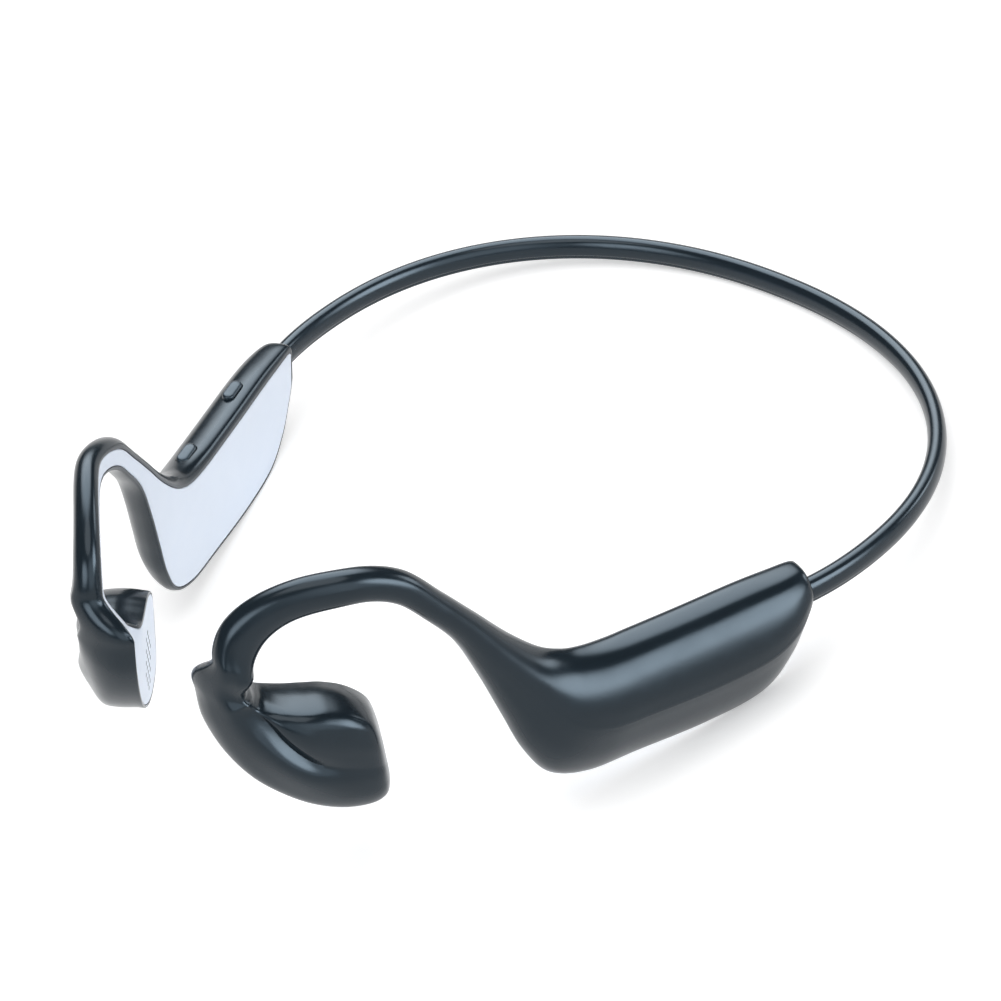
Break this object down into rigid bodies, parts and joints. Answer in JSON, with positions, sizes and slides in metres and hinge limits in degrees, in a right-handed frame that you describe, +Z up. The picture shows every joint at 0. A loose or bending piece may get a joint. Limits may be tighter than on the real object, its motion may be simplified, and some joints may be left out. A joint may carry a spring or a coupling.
{
  "type": "bone conduction headphones",
  "caption": "Open-ear bone conduction headphones with pads in front of the ears, hooks over them, control boxes behind and a sprung neckband.",
  "frame": {"origin": "centre of the bounding box's bottom face, on the surface the headphones lie on", "axes": "+X towards the wearer's left, -Y towards the wearer's front, +Z up; the neckband is at +Y"},
  "size_m": [0.1152, 0.1424, 0.0586],
  "materials": {
    "shell": "semi-gloss moulded, dark blue grey",
    "cover": "satin moulded, pale blue white",
    "band": "smooth overmoulded silicone",
    "spring": "drawn spring wire",
    "lead": "insulated thin wire",
    "clamp": "milled block",
    "screw": "plated",
    "basket": "pressed can",
    "magnet": "plated magnet",
    "coil": "wound enamelled copper wire",
    "diaphragm": "thin film and plate",
    "gasket": "foam ring",
    "mesh": "fine woven mesh",
    "cell": "foil pouch",
    "foam": "adhesive foam pad",
    "board": "solder-masked laminate",
    "chip": "moulded package",
    "shield": "pressed tin plate",
    "antenna": "fired chip",
    "socket": "drawn shell",
    "switch": "moulded body",
    "microphone": "pressed can",
    "light": "clear moulded pipe",
    "flap": "smooth soft moulding",
    "button": "smooth soft moulding"
  },
  "bodies": {
    "band": {"band_sleeve": "band", "spring_wire": "spring", "band_leads": "lead"},
    "left_module": {"left_shell": "shell", "left_cover": "cover", "left_clamp": "clamp", "left_clamp_screw": "screw", "left_lead": "lead", "left_basket": "basket", "left_magnet": "magnet", "left_coil": "coil", "left_diaphragm": "diaphragm", "left_gasket": "gasket", "left_mesh": "mesh", "battery": "cell", "battery_foam": "foam"},
    "right_module": {"right_shell": "shell", "right_cover": "cover", "right_clamp": "clamp", "right_clamp_screw": "screw", "right_lead": "lead", "right_basket": "basket", "right_magnet": "magnet", "right_coil": "coil", "right_diaphragm": "diaphragm", "right_gasket": "gasket", "right_mesh": "mesh", "main_board": "board", "board_screws": "screw", "radio_chip": "chip", "shield_can": "shield", "antenna": "antenna", "usb_socket": "socket", "tact_switches": "switch", "microphone": "microphone", "light_pipe": "light"},
    "flap": {"port_flap": "flap"},
    "volume_up": {"volume_up_button": "button"},
    "volume_down": {"volume_down_button": "button"}
  },
  "joints": [
    {"name": "left_spread", "type": "hinge", "parent": "band", "child": "left_module", "pos_m": [0.0406, 0.05651, 0.00458], "axis": [0, 0.1853, 0.9827], "range_deg": [-2, 22], "stiffness_Nm_per_rad": 0.3, "deforming": ["band_sleeve", "spring_wire", "band_leads"]},
    {"name": "right_spread", "type": "hinge", "parent": "band", "child": "right_module", "pos_m": [-0.0406, 0.05651, 0.00458], "axis": [0, -0.1853, -0.9827], "range_deg": [-2, 22], "stiffness_Nm_per_rad": 0.3, "deforming": ["band_sleeve", "spring_wire", "band_leads"]},
    {"name": "flap_swing", "type": "hinge", "parent": "right_module", "child": "flap", "pos_m": [-0.047, -0.02223, 0.00745], "axis": [-0.5034, -0.0185, 0.8638], "range_deg": [0, 100], "stiffness_Nm_per_rad": 0.0008},
    {"name": "volume_up_press", "type": "slide", "parent": "right_module", "child": "volume_up", "axis": [-0.1103, -0.2224, -0.9687], "range_m": [0, 0.00035], "stiffness_N_per_m": 2000},
    {"name": "volume_down_press", "type": "slide", "parent": "right_module", "child": "volume_down", "axis": [-0.1103, -0.2224, -0.9687], "range_m": [0, 0.00035], "stiffness_N_per_m": 2000}
  ]
}
